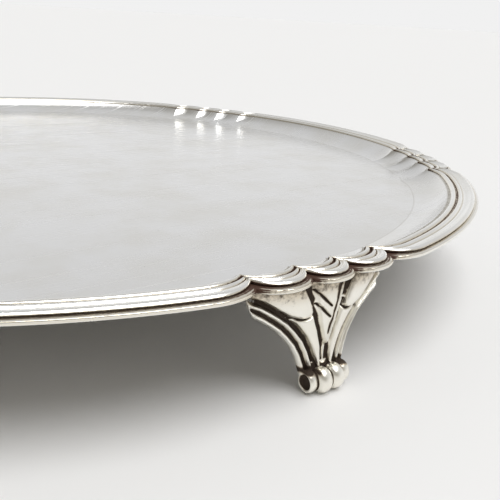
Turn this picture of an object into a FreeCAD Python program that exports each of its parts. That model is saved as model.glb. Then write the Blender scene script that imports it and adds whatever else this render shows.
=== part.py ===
"""Round footed silver salver: a sheet plate, a cast moulded border in twelve lengths and three cast feet.

+Z is up. The origin is on the table, under the centre of the plate. Foot 1 stands towards -Y.
"""

import FreeCAD, Part
import math
import os

Vector = FreeCAD.Vector
UP = Vector(0, 0, 1)

DIMENSIONS = {
    # the whole salver
    "outer_radius": 152.4,
    "overall_height": 29.5,
    "group_count": 6,
    "foot_count": 3,
    "first_direction": -90.0,
    # plan outline, as shares of the outer radius
    "inner_cusp": 2.33,
    "outer_cusp": 7.75,
    "cusp_share": 0.965,
    "lobe_share": 0.994,
    "corner_radius": 12.0,
    # sheet plate
    "sheet_thickness": 1.2,
    "lip_drop": 1.3,
    "well_depth": 5.9,
    "well_share": 0.871,
    "well_lobe_depth": 0.3,
    "band_share": 0.910,
    "band_rise": 1.5,
    "band_lobe_depth": 0.4,
    "shelf_share": 0.938,
    "lip_share": 0.962,
    "lip_lobe_depth": 0.55,
    # feet
    "foot_line": 146.0,
    "foot_top_width": 40.2,
    "flare_width": 37.0,
    "shin_width": 20.4,
    "ankle_width": 13.2,
    "toe_width": 12.4,
    "foot_depth": 5.8,
    "ankle_depth": 4.6,
    "toe_depth": 5.0,
    "flare_height": 21.5,
    "shin_height": 13.5,
    "ankle_height": 6.5,
    "toe_height": 3.05,
    "knuckle_count": 4,
    "knuckle_pitch": 3.3,
    "knuckle_width": 3.8,
    "knuckle_length": 5.6,
    "knuckle_height": 6.1,
    "toe_forward": 2.4,
}

# Border moulding, from its seat on the sheet round the outer lip and back over the reeds: share of the
# plan outline, millimetres below the top of the rim, and depth of the scallops against the deepest.
MOULDING = (
    (0.962, 2.50, 0.55),
    (0.998, 2.12, 0.69),
    (1.000, 1.75, 0.69),
    (0.999, 1.35, 0.72),
    (0.994, 1.12, 0.85),
    (0.987, 0.98, 0.96),
    (0.993, 0.62, 0.96),
    (0.989, 0.10, 0.92),
    (0.985, 0.00, 0.88),
    (0.976, 0.50, 0.78),
    (0.969, 0.98, 0.70),
    (0.963, 0.45, 0.67),
    (0.960, 0.62, 0.65),
    (0.957, 1.20, 0.63),
    (0.954, 0.78, 0.60),
    (0.949, 0.50, 0.58),
    (0.944, 0.98, 0.55),
    (0.9425, 1.30, 0.55),
    (0.962, 1.30, 0.55),
)

doc = FreeCAD.newDocument("salver")


def make_sheet():
    sheet = doc.addObject("Spreadsheet::Sheet", "dimensions")
    for row, (alias, value) in enumerate(DIMENSIONS.items(), start=1):
        sheet.set(f"A{row}", alias)
        sheet.set(f"B{row}", str(value))
        sheet.setAlias(f"B{row}", alias)
    doc.recompute()
    return sheet


sheet = make_sheet()


def size(alias):
    return float(getattr(sheet, alias))


def bind(item, **expressions):
    for prop, expression in expressions.items():
        item.setExpression(prop.replace("__", "."), expression)


# ---------------------------------------------------------------- plan outline

GROUP_PITCH = 360.0 / size("group_count")
GROUP_HALF = size("outer_cusp")


def corner_offset():
    """Angle from a group's last cusp to the centre of the rounded corner of the long curve."""
    cusp = size("cusp_share") * size("outer_radius")
    centre = size("outer_radius") - size("corner_radius")
    cosine = (cusp ** 2 + centre ** 2 - size("corner_radius") ** 2) / (2 * cusp * centre)
    return math.degrees(math.acos(cosine))


CORNER_END = GROUP_HALF + corner_offset()


def corner_share(angle):
    """Share of the outer radius on the rounded corner, at an angle between GROUP_HALF and CORNER_END."""
    centre = size("outer_radius") - size("corner_radius")
    turn = math.radians(CORNER_END - angle)
    reach = math.sqrt(size("corner_radius") ** 2 - (centre * math.sin(turn)) ** 2)
    return (centre * math.cos(turn) + reach) / size("outer_radius")


def scallop_spans():
    """Three lobes: start, middle and end, each an angle from the group's centre and a share."""
    cusp, lobe = size("cusp_share"), size("lobe_share")
    ends = (-size("outer_cusp"), -size("inner_cusp"), size("inner_cusp"), size("outer_cusp"))
    for start, end in zip(ends, ends[1:]):
        yield ((start, cusp), ((start + end) / 2, lobe), (end, cusp))


def long_spans():
    """Rounded corner, long plain curve and rounded corner, between one group and the next."""
    cusp = size("cusp_share")
    middle = (GROUP_HALF + CORNER_END) / 2
    far = GROUP_PITCH - CORNER_END
    yield ((GROUP_HALF, cusp), (middle, corner_share(middle)), (CORNER_END, 1.0))
    yield ((CORNER_END, 1.0), (GROUP_PITCH / 2, 1.0), (far, 1.0))
    yield ((far, 1.0), (GROUP_PITCH - middle, corner_share(middle)), (GROUP_PITCH - GROUP_HALF, cusp))


def plan_point(angle, outline, share, lobe_depth, height):
    """Point at a share of the outline, whose lobes are lobe_depth times as deep as at the outer edge."""
    reach = share * size("outer_radius") * (1 - lobe_depth * (1 - outline))
    turn = math.radians(angle)
    return Vector(reach * math.cos(turn), reach * math.sin(turn), height)


def ring_edges(spans, share, lobe_depth, height, turn=0.0):
    edges = []
    for span in spans:
        points = [plan_point(angle + turn, outline, share, lobe_depth, height) for angle, outline in span]
        edges.append(Part.Arc(*points).toShape())
    return edges


def ruled_faces(lower, upper):
    return [Part.makeRuledSurface(first, second) for first, second in zip(lower, upper)]


def closed_solid(faces):
    shell = Part.Shell(faces)
    shell.sewShape()
    solid = Part.Solid(shell)
    if solid.Volume < 0:
        solid.reverse()
    return solid


def add_piece(name, shape, turn):
    """A piece whose shape no primitive gives; turn is its place round the rim, in degrees."""
    piece = doc.addObject("Part::Feature", name)
    piece.Label = name
    piece.Shape = shape
    piece.Placement = FreeCAD.Placement(Vector(), FreeCAD.Rotation(UP, turn))
    return piece


# ---------------------------------------------------------------- border castings


def moulding_length(spans):
    """One cast length of the border: the moulding carried along the spans, cut off in radial planes."""
    spans = list(spans)
    top = size("overall_height")
    rings = [ring_edges(spans, share, depth, top - drop) for share, drop, depth in MOULDING]
    faces = []
    for index, ring in enumerate(rings):
        faces += ruled_faces(ring, rings[(index + 1) % len(rings)])
    for angle, outline in (spans[0][0], spans[-1][-1]):
        corners = [plan_point(angle, outline, share, depth, top - drop) for share, drop, depth in MOULDING]
        faces.append(Part.Face(Part.makePolygon(corners + corners[:1])))
    return closed_solid(faces)


def make_border():
    arc_shape = moulding_length(long_spans())
    scallop_shape = moulding_length(scallop_spans())
    pieces = []
    for index in range(int(size("group_count"))):
        turn = size("first_direction") + index * GROUP_PITCH
        pieces.append(add_piece(f"border_scallops_{index + 1}", scallop_shape.copy(), turn))
        pieces.append(add_piece(f"border_arc_{index + 1}", arc_shape.copy(), turn))
    return pieces


# ---------------------------------------------------------------- sheet plate


def sheet_rings():
    """Rings of the sheet from the edge of the flat well, up the band, round the lip and back beneath."""
    top = size("overall_height")
    gauge = size("sheet_thickness")
    well = top - size("well_depth")
    band = well + size("band_rise")
    shelf = top - size("lip_drop")
    upper = (
        (size("well_share"), size("well_lobe_depth"), well),
        (size("band_share"), size("band_lobe_depth"), band),
        (size("shelf_share"), size("lip_lobe_depth"), shelf),
        (size("lip_share"), size("lip_lobe_depth"), shelf),
    )
    lower = [(share, depth, height - gauge) for share, depth, height in reversed(upper)]
    return list(upper) + lower


def make_plate():
    spans = list(scallop_spans()) + list(long_spans())
    rings = []
    for share, depth, height in sheet_rings():
        edges = []
        for index in range(int(size("group_count"))):
            edges += ring_edges(spans, share, depth, height, index * GROUP_PITCH)
        rings.append(edges)
    faces = [Part.Face(Part.Wire(rings[0])), Part.Face(Part.Wire(rings[-1]))]
    for lower, upper in zip(rings, rings[1:]):
        faces += ruled_faces(lower, upper)
    return add_piece("tray_plate", closed_solid(faces), size("first_direction"))


# ---------------------------------------------------------------- feet

FOOT_SECTIONS = (
    # name, height above the table, width, depth, step forward from the line of the foot
    ("top", "overall_height - lip_drop - sheet_thickness", "foot_top_width", "foot_depth", "0"),
    ("flare", "flare_height", "flare_width", "foot_depth", "0"),
    ("shin", "shin_height", "shin_width", "(foot_depth + ankle_depth) / 2", "0"),
    ("ankle", "ankle_height", "ankle_width", "ankle_depth", "0"),
    ("toe", "toe_height", "toe_width", "toe_depth", "toe_forward"),
    ("sole", "0", "toe_width * 0.9", "toe_depth * 0.8", "toe_forward"),
)


def bound(text):
    """An expression in which every alias reads the sheet."""
    for alias in sorted(DIMENSIONS, key=len, reverse=True):
        text = text.replace(alias, "<<" + alias + ">>")
    return text.replace("<<", "dimensions.").replace(">>", "")


def foot_leg(name):
    """The leg: a loft through flat ovals from the flared top to the sole."""
    sections = []
    for part, height, width, depth, forward in FOOT_SECTIONS:
        oval = doc.addObject("Part::Ellipse", f"{name}_{part}")
        bind(
            oval,
            MajorRadius=bound(f"({width}) / 2"),
            MinorRadius=bound(f"({depth}) / 2"),
            Placement__Base__y=bound(f"-(foot_line + {forward})"),
            Placement__Base__z=bound(height),
        )
        sections.append(oval)
    leg = doc.addObject("Part::Loft", f"{name}_leg")
    leg.Sections = sections
    leg.Solid = True
    return leg


def foot_knuckle(name, index):
    """One of the round knuckles side by side across the toe."""
    knuckle = doc.addObject("Part::Ellipsoid", f"{name}_knuckle_{index + 1}")
    bind(
        knuckle,
        Radius1=bound("knuckle_height / 2"),
        Radius2=bound("knuckle_width / 2"),
        Radius3=bound("knuckle_length / 2"),
        Placement__Base__x=bound(f"({index} - (knuckle_count - 1) / 2) * knuckle_pitch"),
        Placement__Base__y=bound("-(foot_line + toe_forward)"),
        Placement__Base__z=bound("toe_height"),
    )
    return knuckle


def make_foot(index):
    name = f"foot_{index + 1}"
    casting = doc.addObject("Part::MultiFuse", f"{name}_casting")
    knuckles = [foot_knuckle(name, knuckle) for knuckle in range(int(size("knuckle_count")))]
    casting.Shapes = [foot_leg(name)] + knuckles
    space = doc.addObject("Part::Box", f"{name}_space_above_table")
    bind(
        space,
        Length=bound("foot_top_width * 2"),
        Width=bound("foot_depth * 4"),
        Height=bound("overall_height"),
        Placement__Base__x=bound("-foot_top_width"),
        Placement__Base__y=bound("-(foot_line + foot_depth * 2)"),
    )
    foot = doc.addObject("Part::Common", name)
    foot.Label = name
    foot.Base = casting
    foot.Tool = space
    turn = index * 360.0 / size("foot_count")
    foot.Placement = FreeCAD.Placement(Vector(), FreeCAD.Rotation(UP, turn))
    return foot


# ---------------------------------------------------------------- build, test and write


def check(pieces):
    doc.recompute()
    for item in doc.Objects:
        if "Invalid" in item.State or "Error" in item.State:
            raise RuntimeError(f"{item.Label} failed: {item.State}")
    for piece in pieces:
        shape = piece.Shape
        if shape.isNull() or not shape.isValid() or len(shape.Solids) != 1 or shape.Volume <= 0:
            raise RuntimeError(f"{piece.Label} has no sound solid")


def write(pieces):
    os.makedirs("parts", exist_ok=True)
    for piece in pieces:
        piece.Shape.exportStep(f"parts/{piece.Label}.step")
        print(f"{piece.Label}: {piece.Shape.Volume:.0f} mm3")


def main():
    pieces = [make_plate()]
    pieces += make_border()
    pieces += [make_foot(index) for index in range(int(size("foot_count")))]
    check(pieces)
    write(pieces)


main()
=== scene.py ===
"""Looks of a round footed silver salver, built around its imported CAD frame.

Lengths inside the shape code are millimetres in the frame's own axes, and become metres in make_mesh.
+Z is up, the table is z = 0 and foot 1 stands towards -Y.
"""

import math

import bmesh
import bpy
import numpy as np
from mathutils import Matrix, Vector


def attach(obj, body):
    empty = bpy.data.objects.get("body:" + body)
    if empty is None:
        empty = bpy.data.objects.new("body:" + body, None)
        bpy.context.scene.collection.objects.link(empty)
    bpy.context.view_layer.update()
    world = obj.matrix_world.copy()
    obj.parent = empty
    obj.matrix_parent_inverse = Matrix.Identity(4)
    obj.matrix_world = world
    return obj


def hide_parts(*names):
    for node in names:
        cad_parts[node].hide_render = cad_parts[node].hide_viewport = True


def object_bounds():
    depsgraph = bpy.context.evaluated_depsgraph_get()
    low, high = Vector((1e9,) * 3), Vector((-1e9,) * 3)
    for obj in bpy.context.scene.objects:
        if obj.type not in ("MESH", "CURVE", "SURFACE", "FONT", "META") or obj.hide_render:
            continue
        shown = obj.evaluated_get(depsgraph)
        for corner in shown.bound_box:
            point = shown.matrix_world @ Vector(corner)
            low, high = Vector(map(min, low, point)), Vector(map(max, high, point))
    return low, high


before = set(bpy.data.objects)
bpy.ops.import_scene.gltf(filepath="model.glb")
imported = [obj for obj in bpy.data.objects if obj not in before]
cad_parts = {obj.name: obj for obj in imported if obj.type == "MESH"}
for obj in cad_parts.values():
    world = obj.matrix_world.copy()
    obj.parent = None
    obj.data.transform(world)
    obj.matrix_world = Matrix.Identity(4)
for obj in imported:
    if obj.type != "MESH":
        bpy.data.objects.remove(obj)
CAD_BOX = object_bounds()

MM = 0.001
RADIUS = CAD_BOX[1][0] / MM
RIM = CAD_BOX[1][2] / MM
GROUPS = 6
FEET = 3
FIRST_DIRECTION = -90.0
GROUP_PITCH = 360.0 / GROUPS

# plan outline, as in the frame
CUSPS = (-7.75, -2.33, 2.33, 7.75)
GROUP_HALF = CUSPS[-1]
CUSP_SHARE = 0.965
LOBE_SHARE = 0.994
CORNER_RADIUS = 12.0

# sheet
GAUGE = 1.2
LIP_DROP = 1.3
WELL_DROP = 5.9
WELL_SHARE = 0.871
SHELF_SHARE = 0.938
LIP_SHARE = 0.9615
WELL_LOBES = 0.30
LIP_LOBES = 0.55
FLUTE_DEPTH = 0.35


# ---------------------------------------------------------------- mesh helpers


def make_mesh(name, points, faces, smooth=True):
    """A mesh object from points in millimetres and a list of faces."""
    mesh = bpy.data.meshes.new(name)
    mesh.from_pydata((np.asarray(points) * MM).tolist(), [], faces)
    mesh.validate()
    mesh.update()
    if smooth:
        mesh.shade_smooth()
    piece = bpy.data.objects.new(name, mesh)
    bpy.context.scene.collection.objects.link(piece)
    return piece


def grid_faces(rows, columns):
    """Quads over a grid of points stored row by row; the last column joins the first."""
    index = np.arange(rows * columns).reshape(rows, columns)
    index = np.hstack([index, index[:, :1]])
    quads = np.stack([index[:-1, :-1], index[:-1, 1:], index[1:, 1:], index[1:, :-1]], axis=-1)
    return quads.reshape(-1, 4).tolist()


def tube_faces(rows, columns):
    """The same quads, with a flat face over the first row and one over the last."""
    faces = grid_faces(rows, columns)
    faces.append(list(range(columns)))
    faces.append(list(range((rows - 1) * columns, rows * columns)))
    return faces


def set_attribute(piece, name, values):
    """A number for each point, which the material reads."""
    attribute = piece.data.attributes.new(name, "FLOAT", "POINT")
    attribute.data.foreach_set("value", np.asarray(values, dtype=np.float32).ravel())


def face_outwards(piece):
    """Turns every face of a closed mesh outwards."""
    work = bmesh.new()
    work.from_mesh(piece.data)
    bmesh.ops.recalc_face_normals(work, faces=work.faces)
    work.to_mesh(piece.data)
    work.free()


def bump_shape(x):
    """1 at 0, falling smoothly to 0 at 1 and beyond."""
    x = np.clip(np.abs(x), 0, 1)
    return (1 - x * x) ** 2


def step_up(x, low, high):
    """0 below low and 1 above high, smooth between."""
    x = np.clip((x - low) / (high - low), 0, 1)
    return x * x * (3 - 2 * x)


# ---------------------------------------------------------------- plan outline


def corner_offset():
    """Degrees from a group's outermost cusp to where its rounded corner meets the long curve."""
    cusp = CUSP_SHARE * RADIUS
    centre = RADIUS - CORNER_RADIUS
    cosine = (cusp ** 2 + centre ** 2 - CORNER_RADIUS ** 2) / (2 * cusp * centre)
    return math.degrees(math.acos(cosine))


CORNER_END = GROUP_HALF + corner_offset()


def group_angle(angle):
    """Angle from the centre of the nearest group."""
    return (np.asarray(angle) + GROUP_PITCH / 2) % GROUP_PITCH - GROUP_PITCH / 2


def lobe_share(offset, half_width):
    """Share of the outer radius on a lobe, offset degrees from its middle."""
    half_chord = CUSP_SHARE * RADIUS * math.radians(half_width)
    sagitta = (LOBE_SHARE - CUSP_SHARE) * RADIUS
    lobe_radius = (half_chord ** 2 + sagitta ** 2) / (2 * sagitta)
    across = np.clip(offset / half_width, -1, 1) * half_chord
    return CUSP_SHARE + (np.sqrt(lobe_radius ** 2 - across ** 2) - lobe_radius + sagitta) / RADIUS


def outline(angle):
    """Share of the outer radius at angles, in degrees, from the centre of a group."""
    away = np.abs(group_angle(angle))
    inner, outer = CUSPS[2], CUSPS[3]
    middle = lobe_share(away, inner)
    side = lobe_share(away - (inner + outer) / 2, (outer - inner) / 2)
    centre = RADIUS - CORNER_RADIUS
    turn = np.radians(np.clip(CORNER_END - away, 0, None))
    reach = np.sqrt(np.clip(CORNER_RADIUS ** 2 - (centre * np.sin(turn)) ** 2, 0, None))
    corner = (centre * np.cos(turn) + reach) / RADIUS
    lobes = np.where(away < inner, middle, side)
    return np.where(away < GROUP_HALF, lobes, np.where(away < CORNER_END, corner, 1.0))


def cusp_distance(angle):
    """Millimetres along the rim from the nearest cusp."""
    gap = np.min(np.abs(group_angle(angle)[..., None] - np.array(CUSPS)), axis=-1)
    return np.radians(gap) * RADIUS


def flute(angle):
    """1 in the middle of a lobe, 0 at its cusps and along the long curves."""
    away = group_angle(angle)
    value = np.zeros_like(away)
    for start, end in zip(CUSPS, CUSPS[1:]):
        inside = np.clip((away - start) / (end - start), 0, 1)
        value = value + np.sin(inside * math.pi)
    return value


def lobe_angles():
    """Angles over three lobes, closer together near the cusps."""
    ease = (1 - np.cos(np.linspace(0, math.pi, 45))) / 2
    spans = [start + (end - start) * ease for start, end in zip(CUSPS, CUSPS[1:])]
    return np.unique(np.round(np.concatenate(spans), 6))


def arc_angles():
    """Angles over a long curve, from one group to the next."""
    ease = np.linspace(0, 1, 28) ** 1.6
    start = GROUP_HALF + (CORNER_END + 1 - GROUP_HALF) * ease
    middle = np.linspace(CORNER_END + 1, GROUP_PITCH - CORNER_END - 1, 56)[1:-1]
    return np.concatenate([start, middle, GROUP_PITCH - start[::-1]])


def polar(angle, share, lobes, drop, direction=0.0):
    """Points at a share of the outline with scallops lobes times as deep, drop below the rim."""
    angle, share, lobes, drop = np.broadcast_arrays(angle, share, lobes, drop)
    reach = share * RADIUS * (1 - lobes * (1 - outline(angle)))
    turn = np.radians(angle + direction)
    return np.stack([reach * np.cos(turn), reach * np.sin(turn), RIM - drop], axis=-1)


# ---------------------------------------------------------------- border castings

# Corners of the moulding's section, from its seat round the lip and back over the reeds: millimetres in
# from the outline, millimetres below the rim, depth of the scallops, bulge of the stretch that follows
# as a share of its length, and tarnish at the corner.
SECTION = (
    (5.80, 2.50, 0.55, 0.00, 0.5),
    (0.30, 2.12, 0.69, 0.12, 0.05),
    (0.04, 1.65, 0.70, 0.05, 0.40),
    (0.10, 1.20, 0.75, 0.00, 0.50),
    (0.75, 1.04, 0.85, 0.00, 0.70),
    (1.35, 1.00, 0.90, 0.00, 1.0),
    (1.95, 0.98, 0.96, 0.00, 1.0),
    (1.12, 0.62, 0.96, 0.18, 0.6),
    (2.55, 0.10, 0.86, -0.06, 0.0),
    (3.60, 0.50, 0.78, 0.10, 0.1),
    (4.80, 0.98, 0.70, 0.25, 0.50),
    (6.15, 0.62, 0.65, 0.00, 0.4),
    (6.35, 1.22, 0.64, 0.00, 1.0),
    (6.85, 1.20, 0.62, 0.00, 1.0),
    (7.00, 0.78, 0.60, 0.26, 0.4),
    (8.55, 0.98, 0.55, 0.00, 0.3),
    (8.75, 1.30, 0.55, 0.00, 0.6),
    (5.80, 1.29, 0.55, 0.00, 0.0),
)
SECTION_STEP = 0.16
# a corner's tarnish fades to nothing this far along the section
TARNISH_REACH = 0.45
# tarnish at a cusp, on the reeds and more outside them, and how much more the hollows hold there; both
# fade over a few millimetres along the rim
CUSP_STAIN = 0.35
CUSP_STAIN_RUN = 0.9
CUSP_GATHER = 1.3
CUSP_GATHER_RUN = 4.0
# the hollow under the reeds holds tarnish, painted darker on the near left as painted shade and lighter
# elsewhere: the direction where it is darkest, and how light it gets
DARKEST_SIDE = -133.0
LIGHTEST_SIDE_SHADE = 0.1


def section_points():
    """Share, lobe depth, drop and tarnish round the moulding's section."""
    rows = []
    for index, (inset, drop, lobes, bulge, dark) in enumerate(SECTION):
        next_inset, next_drop, next_lobes, _, next_dark = SECTION[(index + 1) % len(SECTION)]
        length = math.hypot(next_inset - inset, next_drop - drop)
        count = max(2, int(length / SECTION_STEP))
        across, down = (next_inset - inset) / length, (next_drop - drop) / length
        for step in range(count):
            part = step / count
            lift = 4 * bulge * length * part * (1 - part)
            x = inset + part * length * across + lift * down
            y = drop + part * length * down - lift * across
            behind = dark * (1 - part * length / TARNISH_REACH)
            before = next_dark * (1 - (1 - part) * length / TARNISH_REACH)
            rows.append((1 - x / RADIUS, lobes + part * (next_lobes - lobes), y, max(behind, before, 0)))
    return np.array(rows)


def hollow_side_shade(direction):
    """How dark the hollow under the reeds is painted, at most 1, at directions in the frame: painted shade,
    darkest on the near left.
    """
    towards = 0.5 + 0.5 * np.cos(np.radians(direction - DARKEST_SIDE))
    return LIGHTEST_SIDE_SHADE + (1 - LIGHTEST_SIDE_SHADE) * towards ** 2.5


def border_patina_and_shade(angles, direction, share, drop, dark):
    """Tarnish on a cast length: in the section's own hollows, and more of it towards the cusps; outside the
    reeds it is also painted darker on the near left as painted shade.
    """
    gap = cusp_distance(angles)[:, None]
    near_cusp = np.exp(-gap / CUSP_STAIN_RUN)
    gathered = dark * (1 + CUSP_GATHER * np.exp(-gap / CUSP_GATHER_RUN))
    outside = step_up(drop, 0.5, 1.5) * step_up(share, 0.975, 0.985)
    # painted shade: the tarnish outside the reeds is scaled by side, darkest on the near left and light
    # elsewhere
    uneven = 1 - outside * (1 - hollow_side_shade(angles + direction)[:, None])
    stained = near_cusp * (CUSP_STAIN + (1 - CUSP_STAIN) * outside)
    return np.clip((gathered + stained) * uneven, 0, 1)


def moulding_length(name, angles, direction):
    """One cast length of the border, closed by flat ends where it meets its neighbours."""
    share, lobes, drop, dark = (column[None, :] for column in section_points().T)
    points = polar(angles[:, None], share, lobes, drop, direction)
    rows, columns = points.shape[:2]
    piece = make_mesh(name, points.reshape(-1, 3), tube_faces(rows, columns))
    face_outwards(piece)
    set_attribute(piece, "patina_and_shade", border_patina_and_shade(angles, direction, share, drop, dark))
    return piece


def make_border():
    """Twelve cast lengths, one per group of scallops and one per long curve."""
    for index in range(GROUPS):
        direction = FIRST_DIRECTION + index * GROUP_PITCH
        for kind, angles in (("border_scallops", lobe_angles()), ("border_arc", arc_angles())):
            node = f"{kind}_{index + 1}"
            piece = moulding_length(f"{node}_cast", angles, direction)
            finish_piece(piece, node, CAST_SILVER)


# ---------------------------------------------------------------- sheet plate

# the concave band starts at this share of its mean slope, and steepens with this power
BAND_START = 0.39
BAND_POWER = 3.0
CREASE_PATINA = 0.2
# the seam between the sheet and the castings lies this far in from the rim
SEAM_INSET = 8.9
SEAM_PATINA = 0.9
UNDERSIDE_PATINA = 0.34


def band_rows():
    """Share, lobe depth and drop of the sheet's upper face, from the centre to the lip."""
    rows = [(share, WELL_LOBES, WELL_DROP) for share in np.linspace(0.06, 0.84, 14)]
    rows += [(WELL_SHARE - gap / RADIUS, WELL_LOBES, WELL_DROP) for gap in (2.0, 0.5, 0.16, 0.05)]
    for part in np.concatenate([[0.006, 0.02, 0.05], np.linspace(0.1, 0.95, 18), [0.99, 1.0]]):
        rise = BAND_START * part + (1 - BAND_START) * part ** BAND_POWER
        share = WELL_SHARE + (SHELF_SHARE - WELL_SHARE) * part
        lobes = WELL_LOBES + (LIP_LOBES - WELL_LOBES) * part
        rows.append((share, lobes, WELL_DROP + (LIP_DROP - WELL_DROP) * rise))
    rows.append((SHELF_SHARE + 0.15 / RADIUS, LIP_LOBES, LIP_DROP))
    rows.append((LIP_SHARE, LIP_LOBES, LIP_DROP))
    return np.array(rows)


def rim_angles():
    """Angles once round the rim, in step with the castings' own."""
    one = np.concatenate([lobe_angles()[:-1], arc_angles()[:-1]])
    return np.concatenate([one + index * GROUP_PITCH for index in range(GROUPS)])


def plate_patina(share, underside):
    """Tarnish along the crease, along the seam at the border and all over the underside."""
    crease = CREASE_PATINA * bump_shape((share - WELL_SHARE) * RADIUS / 0.5)
    seam = SEAM_PATINA * bump_shape((share * RADIUS - RADIUS + SEAM_INSET) / 0.9)
    return np.where(underside, UNDERSIDE_PATINA, crease + seam)


def make_plate():
    """The sheet: its upper face, its lip and its underside one gauge lower, as one closed mesh."""
    upper = band_rows()
    lower = upper[::-1] + np.array([0, 0, GAUGE])
    angles = rim_angles()
    share, lobes, drop = (column[:, None] for column in np.vstack([upper, lower]).T)
    across_band = np.clip((share - WELL_SHARE) / (SHELF_SHARE - WELL_SHARE), 0, 1)
    scoop = FLUTE_DEPTH * np.sin(math.pi * across_band) * flute(angles)
    rings = polar(angles[None, :], share, lobes, drop + scoop, FIRST_DIRECTION)
    count, columns = rings.shape[:2]
    points = np.vstack([rings.reshape(-1, 3), [[0, 0, RIM - WELL_DROP], [0, 0, RIM - WELL_DROP - GAUGE]]])
    faces = grid_faces(count, columns)
    top, bottom = count * columns, count * columns + 1
    last = (count - 1) * columns
    for column in range(columns):
        beyond = (column + 1) % columns
        faces.append([top, column, beyond])
        faces.append([bottom, last + beyond, last + column])
    piece = make_mesh("tray_plate_sheet", points, faces)
    face_outwards(piece)
    patina_and_shade = plate_patina(share, np.arange(count)[:, None] >= len(upper))
    spread = np.broadcast_to(patina_and_shade, (count, columns)).ravel()
    set_attribute(piece, "patina_and_shade", np.concatenate([spread, [0, UNDERSIDE_PATINA]]))
    finish_piece(piece, "tray_plate", PLATE_SILVER)


# ---------------------------------------------------------------- feet

FOOT_TOP = RIM - 2.5
TOE_CENTRE = 148.4
TOE_HEIGHT = 3.05
# how far aside each knuckle of the toe lies, and the half-width, reach and height of two kinds of knuckle
KNUCKLES = (-4.95, -1.8, 1.9, 5.05)
MIDDLE_KNUCKLE = (2.0, 2.8, 3.1)
END_KNUCKLE = (1.65, 2.35, 2.65)
END_SET_BACK = 0.9
SCROLL_DEPTH = 1.3
# height, half-width and half-depth of the solid core behind the knuckles
ANKLE = ((0.6, 4.2, 1.8), (3.0, 4.9, 2.2), (5.0, 4.75, 1.3), (7.0, 4.6, 0.9))
ANKLE_SET_BACK = 2.6
# the toe lies this far to one side of the shield's top
LEAN = 1.2
SHIELD_BOTTOM = 4.2
# height above the table, half-width of the shield, distance of its middle from the axis and how far its
# sides are bowed back
SHIELD = (
    (4.1, 6.0, 147.2, 1.0), (6.5, 6.6, 147.2, 1.2), (9.2, 7.55, 147.2, 1.5), (11.6, 8.75, 147.3, 1.9),
    (13.9, 10.5, 147.4, 2.3), (15.9, 12.35, 147.5, 2.7), (17.6, 14.45, 147.6, 3.0), (19.1, 16.5, 147.7, 3.3),
    (20.3, 18.3, 147.8, 3.5), (21.4, 18.85, 147.9, 3.6), (23.1, 19.6, 147.9, 3.7), (24.7, 19.9, 147.9, 3.8),
    (28.0, 20.1, 147.9, 3.8),
)
EDGE_THICKNESS = 0.9
# height, and how much thicker the shield is in its middle than at its edges
MIDDLE_THICKNESS = ((5.0, 3.6), (10.0, 3.2), (18.0, 2.2), (FOOT_TOP, 2.0))
# height and distance from the middle: the line the ribs follow above the shield's waist, the inner edge
# of the petals and the edge of the middle panel
RIB_RUN = ((20.9, 19.6), (21.5, 21.0), (22.4, 23.2), (24.0, 27.0))
PETAL_EDGE = (
    (6.0, 1.40), (8.0, 1.45), (11.0, 1.70), (13.8, 2.50), (15.0, 2.80), (17.0, 3.60), (20.0, 4.70),
    (23.0, 5.80), (25.0, 6.80), (28.0, 8.20),
)
PANEL_EDGE = ((10.6, 0.05), (13.5, 0.80), (17.0, 1.90), (21.6, 3.00), (27.0, 4.20))
# distance in from the shield's edge, half-width and height of each rib and groove
RIBS = ((0.50, 0.58, 0.60), (1.50, 0.60, -0.70), (2.42, 0.58, 0.55), (3.45, 1.00, -1.20))
PETAL_GAP = 4.15
TONGUE = 20.9
# the two ends, across and up, of each slanted slot in the middle panel
SLOTS = (((-4.1, 24.9), (0.75, 20.4)), ((-3.3, 21.5), (0.55, 17.8)))
SLOT_DEPTH = 0.75
# size of the cells that the foot's pieces are fused in, and rounds of smoothing that find its hollows
FOOT_CELL = 0.16
HOLLOW_ROUNDS = 45
# a point this far below its surroundings is fully tarnished
HOLLOW_DEPTH = 0.13
# painted shadow of the border under the rim, partly brown stain: its strength and the height it fades over;
# painted shade above the toe: its strength, its level and its half-height
RIM_SHADE = 0.42
RIM_SHADE_HEIGHT = 6.5
TOE_SHADE = 0.8
TOE_SHADE_LEVEL = 5.8
TOE_SHADE_HEIGHT = 1.3


def shield_size(height, column):
    """Half-width (1), distance from the axis (2) or bow (3) of the shield at a height."""
    table = np.array(SHIELD)
    return np.interp(height, table[:, 0], table[:, column])


def line_at(height, line):
    """Value at a height of a line given as pairs of height and value."""
    return np.interp(height, *np.array(line).T)


def edge_distance(across, height):
    """Distance in the shield's own plane from the line that the ribs follow."""
    sides = [(z, half) for z, half, _, _ in SHIELD if z < RIB_RUN[0][0]]
    z = np.linspace(sides[0][0] - 2, RIB_RUN[-1][0], 420)
    x = line_at(z, sides + list(RIB_RUN))
    gap = np.full(across.shape, 1e9)
    for edge_x, edge_z in zip(x, z):
        gap = np.minimum(gap, (np.abs(across) - edge_x) ** 2 + (height - edge_z) ** 2)
    return np.sqrt(gap)


def petal(away, height, inner, outer, floor):
    """1 on a petal's outline and less inside it; floor is the height of the centre of its rounded end."""
    middle, half = (inner + outer) / 2, np.maximum((outer - inner) / 2, 0.2)
    below = np.clip(floor - height, 0, None)
    return np.sqrt((away - middle) ** 2 + below ** 2) / half


def dome(gap):
    """1 in the middle of a petal, falling steeply to 0 at its outline."""
    return np.sqrt(np.clip(1 - gap ** 2.8, 0, 1))


def slot(across, height, start, end):
    """Depth, up to 1, of a slot cut between two points."""
    along = np.subtract(end, start)
    part = np.clip(((across - start[0]) * along[0] + (height - start[1]) * along[1]) / (along @ along), 0, 1)
    off = np.hypot(across - start[0] - part * along[0], height - start[1] - part * along[1])
    return bump_shape(off / (0.34 + 0.25 * np.sin(part * math.pi)))


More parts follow.
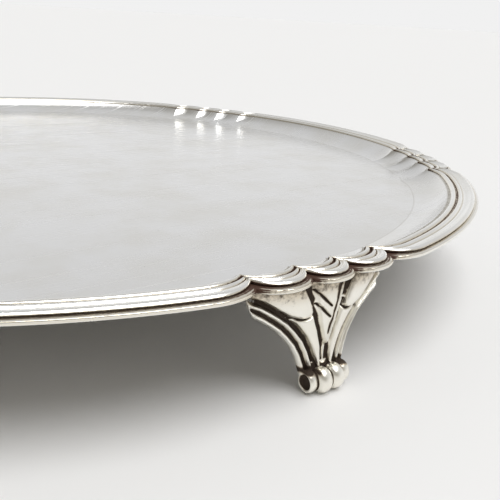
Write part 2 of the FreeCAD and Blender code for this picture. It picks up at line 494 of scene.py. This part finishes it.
def rib_relief(gap):
    """The ribs and grooves that run along the shield's edge."""
    relief = np.zeros_like(gap)
    for centre, half, lift in RIBS:
        relief += lift * bump_shape((gap - centre) / half)
    return relief


def petal_relief(away, height, gap, inner):
    """A tongue-ended petal over a narrower one, and the groove that sets the tongue off."""
    outer = away + gap - PETAL_GAP
    upper = petal(away, height, inner, outer, TONGUE)
    lower = petal(away, height, inner, outer, 0.0)
    under = step_up(TONGUE + 0.6 - height, 0.0, 0.8)
    beside = (gap > PETAL_GAP - 0.4) * (away > inner - 0.6)
    groove = 0.95 * bump_shape((upper - 1.16) / 0.30) * under * beside
    return np.maximum(1.15 * dome(upper), 0.50 * dome(lower) * under) - groove


def panel_relief(across, height, inner):
    """The raised middle panel with one sharper edge, the grooves beside it and its slots."""
    away = np.abs(across)
    panel = line_at(height, PANEL_EDGE)
    groove = (inner - panel) / 2
    relief = 0.30 * step_up(panel - away, 0.0, 0.35)
    relief -= 1.10 * bump_shape((away - panel - groove) / (groove + 0.40))
    relief += 0.60 * bump_shape((across - panel + 0.3) / 0.5) * step_up(height, 10.6, 12.5)
    for start, end in SLOTS:
        relief -= SLOT_DEPTH * slot(across, height, start, end)
    return relief


def shield_relief(across, height):
    """Millimetres that the shield's face stands out from its bowed ground."""
    gap = edge_distance(across, height)
    inner = line_at(height, PETAL_EDGE)
    petals = petal_relief(np.abs(across), height, gap, inner)
    return rib_relief(gap) + petals + panel_relief(across, height, inner)


def shield_mesh(name):
    """The leg: a bowed shield with its relief on the front and a smooth hollow back."""
    heights = np.linspace(SHIELD_BOTTOM, FOOT_TOP, 190)[:, None]
    share = np.linspace(-1, 1, 260)[None, :]
    across = share * shield_size(heights, 1)
    upwards = heights + 0 * across
    ground = shield_size(heights, 2) - shield_size(heights, 3) * share ** 2
    front = ground + shield_relief(across, upwards) * step_up(1 - np.abs(share), 0, 0.02)
    back = ground - EDGE_THICKNESS - line_at(heights, MIDDLE_THICKNESS) * (1 - share ** 2)
    front_points = np.stack([across, -front, upwards], axis=-1)
    back_points = np.stack([across, -back, upwards], axis=-1)[:, ::-1]
    loop = np.concatenate([front_points, back_points], axis=1)
    return make_mesh(name, loop.reshape(-1, 3), tube_faces(*loop.shape[:2]))


def knuckle_mesh(name, across, end):
    """One rounded knuckle of the toe; end is -1 or 1 on the outermost, which have a hollow scroll, or 0."""
    turn = np.linspace(0, 2 * math.pi, 72, endpoint=False)[None, :]
    tilt = np.linspace(-math.pi / 2, math.pi / 2, 49)[:, None]
    half, reach, tall = END_KNUCKLE if end else MIDDLE_KNUCKLE
    side = np.sign(np.sin(tilt)) * np.abs(np.sin(tilt)) ** 0.8
    ring = np.abs(np.cos(tilt)) ** 0.62
    x = across + half * side + 0 * turn
    if end:
        dish = (1 - step_up(ring, 0.45, 0.92)) * (np.sign(side) == end)
        x = x - end * dish * SCROLL_DEPTH
    y = -(TOE_CENTRE - END_SET_BACK * abs(end) + reach * ring * np.cos(turn))
    z = np.maximum(TOE_HEIGHT + tall * ring * np.sin(turn), 0.0)
    points = np.stack([x, y, z], axis=-1)
    return make_mesh(name, points.reshape(-1, 3), grid_faces(*points.shape[:2]))


def ankle_mesh(name):
    """The solid core that joins the shield to the knuckles."""
    turn = np.linspace(0, 2 * math.pi, 64, endpoint=False)[None, :]
    heights = np.linspace(ANKLE[0][0], ANKLE[-1][0], 24)[:, None]
    level, half_width, half_depth = np.array(ANKLE).T
    x = np.interp(heights, level, half_width) * np.cos(turn)
    y = -(TOE_CENTRE - ANKLE_SET_BACK + np.interp(heights, level, half_depth) * np.sin(turn))
    points = np.stack([x, y, heights + 0 * x], axis=-1)
    return make_mesh(name, points.reshape(-1, 3), tube_faces(*points.shape[:2]))


def fuse(pieces, name, cell):
    """Joins closed meshes that run into each other into one closed skin."""
    for piece in pieces:
        face_outwards(piece)
    bpy.ops.object.select_all(action="DESELECT")
    for piece in pieces:
        piece.select_set(True)
    bpy.context.view_layer.objects.active = pieces[0]
    bpy.ops.object.join()
    whole = pieces[0]
    whole.name = name
    remesh = whole.modifiers.new("skin", "REMESH")
    remesh.mode = "VOXEL"
    remesh.voxel_size = cell * MM
    smooth = whole.modifiers.new("soften", "SMOOTH")
    smooth.iterations = 2
    smooth.factor = 0.4
    bpy.ops.object.modifier_apply(modifier=remesh.name)
    bpy.ops.object.modifier_apply(modifier=smooth.name)
    whole.data.shade_smooth()
    return whole


def mesh_points(piece):
    """A mesh's points in millimetres."""
    points = np.empty(len(piece.data.vertices) * 3)
    piece.data.vertices.foreach_get("co", points)
    return points.reshape(-1, 3) / MM


def hollows(piece, rounds):
    """For each point, how far it lies below its surroundings, in millimetres."""
    mesh = piece.data
    points = mesh_points(piece)
    normals = np.empty(len(mesh.vertices) * 3)
    mesh.vertices.foreach_get("normal", normals)
    normals = normals.reshape(-1, 3)
    edges = np.empty(len(mesh.edges) * 2, dtype=np.int32)
    mesh.edges.foreach_get("vertices", edges)
    edges = edges.reshape(-1, 2)
    ends = np.concatenate([edges[:, 0], edges[:, 1]])
    others = np.concatenate([edges[:, 1], edges[:, 0]])
    degree = np.bincount(ends, minlength=len(points))[:, None]
    blurred = points.copy()
    for _ in range(rounds):
        totals = [np.bincount(ends, blurred[others, axis], len(points)) for axis in range(3)]
        blurred = np.stack(totals, axis=-1) / degree
    return np.einsum("ij,ij->i", blurred - points, normals)


def foot_patina_and_shade(foot, places):
    """Tarnish in the foot's hollows and inside the end scrolls, brown stain with painted shadow of the
    border under the rim, and painted shade in the cavity above the toe.
    """
    aside, height = np.abs(places[:, 0]), places[:, 2]
    deep = step_up(hollows(foot, HOLLOW_ROUNDS), 0.0, HOLLOW_DEPTH)
    # brown stain and painted shadow of the border, darkest at the top of the foot
    under_rim = RIM_SHADE * step_up(height, FOOT_TOP - RIM_SHADE_HEIGHT, FOOT_TOP)
    # painted shade in the cavity above the toe, beside the ends of the ribs
    level = bump_shape((height - TOE_SHADE_LEVEL) / TOE_SHADE_HEIGHT)
    above_toe = TOE_SHADE * level * step_up(aside, 2.4, 3.4)
    off_axis = np.hypot(places[:, 1] + TOE_CENTRE - END_SET_BACK, height - TOE_HEIGHT)
    scroll = step_up(aside, 4.7, 5.1) * (1 - step_up(off_axis, 1.5, 2.0))
    return np.clip(deep + under_rim + above_toe + scroll, 0, 1)


def make_foot_mesh():
    """Foot 1: its pieces fused into one skin, which then leans to one side."""
    parts = [shield_mesh("foot_shield"), ankle_mesh("foot_ankle")]
    ends = (-1, 0, 0, 1)
    for index, (across, end) in enumerate(zip(KNUCKLES, ends)):
        parts.append(knuckle_mesh(f"foot_knuckle_{index}", across, end))
    foot = fuse(parts, "foot_1_cast", FOOT_CELL)
    places = mesh_points(foot)
    set_attribute(foot, "patina_and_shade", foot_patina_and_shade(foot, places))
    places[:, 0] += LEAN * (1 - places[:, 2] / FOOT_TOP)
    foot.data.vertices.foreach_set("co", (places * MM).ravel())
    foot.data.update()
    return foot


def make_feet():
    """Three feet that share one mesh, turned about the axis to their places."""
    first = make_foot_mesh()
    feet = [first]
    for index in range(1, FEET):
        foot = bpy.data.objects.new(f"foot_{index + 1}_cast", first.data)
        bpy.context.scene.collection.objects.link(foot)
        foot.rotation_euler.z = math.radians(index * 360.0 / FEET)
        feet.append(foot)
    bpy.context.view_layer.update()
    for index, foot in enumerate(feet):
        finish_piece(foot, f"foot_{index + 1}", FOOT_SILVER)


# ---------------------------------------------------------------- materials


class Nodes:
    """Short way to add and join shader nodes."""

    def __init__(self, material):
        material.use_nodes = True
        self.tree = material.node_tree
        self.tree.nodes.clear()

    def add(self, kind, inputs=None, **settings):
        node = self.tree.nodes.new(kind)
        for key, value in settings.items():
            setattr(node, key, value)
        for key, value in (inputs or {}).items():
            if isinstance(value, bpy.types.NodeSocket):
                self.tree.links.new(value, node.inputs[key])
            else:
                node.inputs[key].default_value = value
        return node

    def maths(self, operation, first, second, clamp=False):
        node = self.add("ShaderNodeMath", {0: first, 1: second}, operation=operation, use_clamp=clamp)
        return node.outputs[0]

    def noise(self, vector, scale, detail, roughness):
        inputs = {"Vector": vector, "Scale": scale, "Detail": detail, "Roughness": roughness}
        return self.add("ShaderNodeTexNoise", inputs).outputs["Fac"]

    def ramp(self, value, low, high):
        node = self.add("ShaderNodeMapRange", {"Value": value, "From Min": low, "From Max": high})
        node.interpolation_type = "SMOOTHSTEP"
        return node.outputs["Result"]

    def blend(self, factor, first, second):
        node = self.add("ShaderNodeMix", data_type="RGBA")
        for socket, value in zip((node.inputs[0], node.inputs[6], node.inputs[7]), (factor, first, second)):
            if isinstance(value, bpy.types.NodeSocket):
                self.tree.links.new(value, socket)
            else:
                socket.default_value = value
        return node.outputs[2]


# the noise is squeezed this much along and across a scratch; each kind has a direction and a density
SCRATCH_SCALE = (9, 1000, 9)
SCRATCH_KINDS = ((0.5, 0.62), (2.2, 0.64))


def scratches(nodes, position, turn, density):
    """Fine straight scratches in one direction, 0 to 1."""
    inputs = {"Vector": position, "Rotation": (0, 0, turn), "Scale": SCRATCH_SCALE}
    mapping = nodes.add("ShaderNodeMapping", inputs)
    lines = nodes.noise(mapping.outputs[0], 1.0, 2.0, 0.5)
    return nodes.ramp(lines, density, density + 0.07)


# scale per metre, detail and roughness of each pattern in the silver
MOTTLE = (900.0, 5.0, 0.65)
CLOUD = (45.0, 4.0, 0.6)
SPECKS = (1300.0, 1.0, 0.5)
WAVES = (60.0, 1.0, 0.4)
# noise values between which each pattern sets in
SPECK_EDGE = (0.79, 0.84)
CLOUD_EDGE = (0.35, 0.7)
WARMTH_EDGE = (0.02, 0.5)
RAGGEDNESS = 0.9
SPECK_SOIL = 0.5
# roughness added by clouds, scratches, and tarnish and painted shade, and metal lost under both
CLOUD_ROUGHNESS = 0.06
SCRATCH_ROUGHNESS = 0.12
SOIL_ROUGHNESS = 0.45
SOIL_METAL_LOSS = 0.65
# strength of the fine pits, and the heights in metres of waves, scratches and pits
PIT_STRENGTH = 0.12
WAVE_HEIGHT = 0.001
SCRATCH_HEIGHT = 0.00002
PIT_HEIGHT = 0.0001


def silver(name, tone, roughness, stain_and_shade_tone, dark, wave, scratch, patina_edge):
    """Silver with fine scratches, a slow waviness, and tarnish and painted shade where the point attribute
    says.
    """
    material = bpy.data.materials.new(name)
    nodes = Nodes(material)
    position = nodes.add("ShaderNodeTexCoord").outputs["Object"]
    patina_and_shade = nodes.add("ShaderNodeAttribute", attribute_name="patina_and_shade").outputs["Fac"]
    mottle = nodes.noise(position, *MOTTLE)
    cloud = nodes.noise(position, *CLOUD)
    uneven = nodes.maths("MULTIPLY", nodes.maths("SUBTRACT", mottle, 0.5), RAGGEDNESS)
    # the point attribute holds tarnish, and painted shade in the castings' outer hollow and on the foot;
    # both darken the colour here
    tarnish_and_shade = nodes.ramp(nodes.maths("ADD", patina_and_shade, uneven), *patina_edge)
    specks = nodes.ramp(nodes.noise(position, *SPECKS), *SPECK_EDGE)
    soil_and_shade = nodes.maths("MAXIMUM", tarnish_and_shade, nodes.maths("MULTIPLY", specks, SPECK_SOIL))
    clouded = [tone[0] * 0.94, tone[1] * 0.93, tone[2] * 0.90, 1]
    clean = nodes.blend(nodes.ramp(cloud, *CLOUD_EDGE), tone, clouded)
    warm = nodes.blend(nodes.ramp(patina_and_shade, *WARMTH_EDGE), clean, stain_and_shade_tone)
    colour = nodes.blend(soil_and_shade, warm, dark)
    lines = nodes.maths("MAXIMUM", *(scratches(nodes, position, *kind) for kind in SCRATCH_KINDS))
    rough = nodes.maths("ADD", roughness, nodes.maths("MULTIPLY", cloud, CLOUD_ROUGHNESS))
    rough = nodes.maths("ADD", rough, nodes.maths("MULTIPLY", lines, SCRATCH_ROUGHNESS))
    rough = nodes.maths("ADD", rough, nodes.maths("MULTIPLY", soil_and_shade, SOIL_ROUGHNESS), clamp=True)
    slow = nodes.noise(position, *WAVES)
    wavy = nodes.add("ShaderNodeBump", {"Height": slow, "Strength": wave, "Distance": WAVE_HEIGHT})
    fine = nodes.add(
        "ShaderNodeBump",
        {"Height": lines, "Strength": scratch, "Distance": SCRATCH_HEIGHT, "Normal": wavy.outputs[0]},
    )
    fine.invert = True
    pits = nodes.add(
        "ShaderNodeBump",
        {"Height": mottle, "Strength": PIT_STRENGTH, "Distance": PIT_HEIGHT, "Normal": fine.outputs[0]},
    )
    metal = nodes.maths("SUBTRACT", 1.0, nodes.maths("MULTIPLY", soil_and_shade, SOIL_METAL_LOSS))
    shader = nodes.add(
        "ShaderNodeBsdfPrincipled",
        {"Base Color": colour, "Metallic": metal, "Roughness": rough, "Normal": pits.outputs[0]},
    )
    nodes.add("ShaderNodeOutputMaterial", {"Surface": shader.outputs[0]})
    return material


PLATE_SILVER = silver(
    "plate_silver",
    tone=(0.93, 0.93, 0.93, 1),
    roughness=0.20,
    stain_and_shade_tone=(0.52, 0.49, 0.43, 1),
    dark=(0.10, 0.075, 0.05, 1),
    wave=0.015,
    scratch=0.25,
    patina_edge=(0.45, 0.9),
)
CAST_SILVER = silver(
    "cast_silver",
    tone=(0.97, 0.965, 0.94, 1),
    roughness=0.16,
    # this stain tone and the dark colour below also paint the shade in the outer hollow on the near left
    stain_and_shade_tone=(0.78, 0.72, 0.60, 1),
    dark=(0.075, 0.036, 0.022, 1),
    wave=0.05,
    scratch=0.4,
    patina_edge=(0.40, 0.80),
)
FOOT_SILVER = silver(
    "foot_silver",
    tone=(0.96, 0.94, 0.88, 1),
    roughness=0.26,
    # this stain tone and the dark colour below also paint the shadow under the rim and the shade above the
    # toe
    stain_and_shade_tone=(0.62, 0.53, 0.40, 1),
    dark=(0.05, 0.033, 0.022, 1),
    wave=0.10,
    scratch=0.4,
    patina_edge=(0.20, 0.62),
)


def finish_piece(piece, node, material):
    """Gives a piece its one material, hangs it under the root and hides the solid of the frame it replaces.
    """
    piece.data.materials.clear()
    piece.data.materials.append(material)
    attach(piece, "root")
    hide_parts(node)


# ---------------------------------------------------------------- stage, light and camera

UPWARDS = Vector((0, 0, 1))


def plain_material(name, colour, roughness):
    material = bpy.data.materials.new(name)
    nodes = Nodes(material)
    shader = nodes.add("ShaderNodeBsdfPrincipled", {"Base Color": colour, "Roughness": roughness})
    nodes.add("ShaderNodeOutputMaterial", {"Surface": shader.outputs[0]})
    return material


FLOOR_RADIUS = 40000
FLOOR_SIDES = 96
FLOOR_TONE = (0.84, 0.84, 0.84, 1)
FLOOR_ROUGHNESS = 0.6


def make_floor():
    """A near-white disc that fills the camera's view; from lower down its edge is a far horizon."""
    turn = np.linspace(0, 2 * math.pi, FLOOR_SIDES, endpoint=False)
    points = np.stack([FLOOR_RADIUS * np.cos(turn), FLOOR_RADIUS * np.sin(turn), 0 * turn], axis=-1)
    floor = make_mesh("floor", points, [list(range(FLOOR_SIDES))], smooth=False)
    floor.data.materials.append(plain_material("floor_paper", FLOOR_TONE, FLOOR_ROUGHNESS))


# sine of the elevation and brightness of the surroundings there
WORLD_LEVELS = (
    (0.0, 0.88), (0.12, 0.87), (0.20, 0.80), (0.36, 0.66), (0.60, 0.60), (0.86, 0.58), (1.0, 0.35),
)
# what the surroundings are multiplied by on the near left, and how much of the bright side is to the right
NEAR_TONE = (0.52, 0.50, 0.46, 1)
BRIGHT_TO_RIGHT = 0.5
SUN_ENERGY = 2.15
SUN_ANGLE = 52
SUN_AHEAD = -0.18
SUN_TO_RIGHT = 0.30


def make_world(ahead, right):
    """Soft surroundings: light beyond the salver and to its right, dim and warm on the near left."""
    world = bpy.data.worlds.new("studio")
    bpy.context.scene.world = world
    nodes = Nodes(world)
    direction = nodes.add("ShaderNodeTexCoord").outputs["Generated"]
    height = nodes.add("ShaderNodeSeparateXYZ", {0: direction}).outputs["Z"]
    ramp = nodes.add("ShaderNodeValToRGB", {0: height})
    elements = ramp.color_ramp.elements
    for index, (place, level) in enumerate(WORLD_LEVELS):
        element = elements[index] if index < 2 else elements.new(place)
        element.position = place
        element.color = (level, level, level, 1)
    bright = (ahead + right * BRIGHT_TO_RIGHT).normalized()
    towards = nodes.add("ShaderNodeVectorMath", {0: direction, 1: tuple(bright)}, operation="DOT_PRODUCT")
    side = nodes.ramp(towards.outputs["Value"], -0.35, 0.5)
    near = nodes.blend(side, NEAR_TONE, (1, 1, 1, 1))
    colour = nodes.add("ShaderNodeVectorMath", {0: ramp.outputs[0], 1: near}, operation="MULTIPLY")
    background = nodes.add("ShaderNodeBackground", {"Color": colour.outputs[0], "Strength": 1.0})
    nodes.add("ShaderNodeOutputWorld", {"Surface": background.outputs[0]})


def make_light(ahead, right):
    """One very wide soft light overhead, a little to the front and right, as far off as daylight."""
    data = bpy.data.lights.new("overhead", "SUN")
    data.energy = SUN_ENERGY
    data.angle = math.radians(SUN_ANGLE)
    light = bpy.data.objects.new("overhead", data)
    towards = ahead * SUN_AHEAD + right * SUN_TO_RIGHT + UPWARDS
    light.rotation_euler = towards.to_track_quat("Z", "Y").to_euler()
    bpy.context.scene.collection.objects.link(light)


# The camera stands outside the rim, low over the plate, to the left of foot 1. Lengths are shares of the
# outer radius and angles are degrees; heading is counter-clockwise from +X.
CAMERA_DIRECTION = -112.78
CAMERA_REACH = 1.7418
CAMERA_ABOVE_RIM = 0.3249
CAMERA_HEADING = 50.51
CAMERA_PITCH = 18.468
CAMERA_ROLL = 3.327
FOCAL_SHARE = 1.3970
SENSOR = 36.0


def level_sides():
    """Level unit vectors away from the camera and to its right, by which the light is set out."""
    heading = math.radians(CAMERA_HEADING)
    ahead = Vector((math.cos(heading), math.sin(heading), 0))
    return ahead, ahead.cross(UPWARDS)


def camera_turn():
    """The camera's rotation: its right, its up and what lies behind it."""
    pitch, roll = math.radians(CAMERA_PITCH), math.radians(CAMERA_ROLL)
    level, right = level_sides()
    ahead = level * math.cos(pitch) - UPWARDS * math.sin(pitch)
    up = right.cross(ahead)
    rolled_right = math.cos(roll) * right + math.sin(roll) * up
    rolled_up = -math.sin(roll) * right + math.cos(roll) * up
    return Matrix((rolled_right, rolled_up, -ahead)).transposed()


def make_camera():
    """The main camera, placed by the rim and turned by its heading, pitch and roll."""
    data = bpy.data.cameras.new("camera")
    data.sensor_width = SENSOR
    data.lens = SENSOR * FOCAL_SHARE
    data.clip_start = 0.01
    camera = bpy.data.objects.new("camera", data)
    bpy.context.scene.collection.objects.link(camera)
    place = math.radians(CAMERA_DIRECTION)
    radius, rim = RADIUS * MM, RIM * MM
    matrix = camera_turn().to_4x4()
    matrix.translation = Vector((
        CAMERA_REACH * radius * math.cos(place),
        CAMERA_REACH * radius * math.sin(place),
        rim + CAMERA_ABOVE_RIM * radius,
    ))
    camera.matrix_world = matrix
    bpy.context.scene.camera = camera


make_plate()
make_border()
make_feet()
make_floor()
make_camera()
make_world(*level_sides())
make_light(*level_sides())
bpy.context.scene.view_settings.view_transform = "Standard"
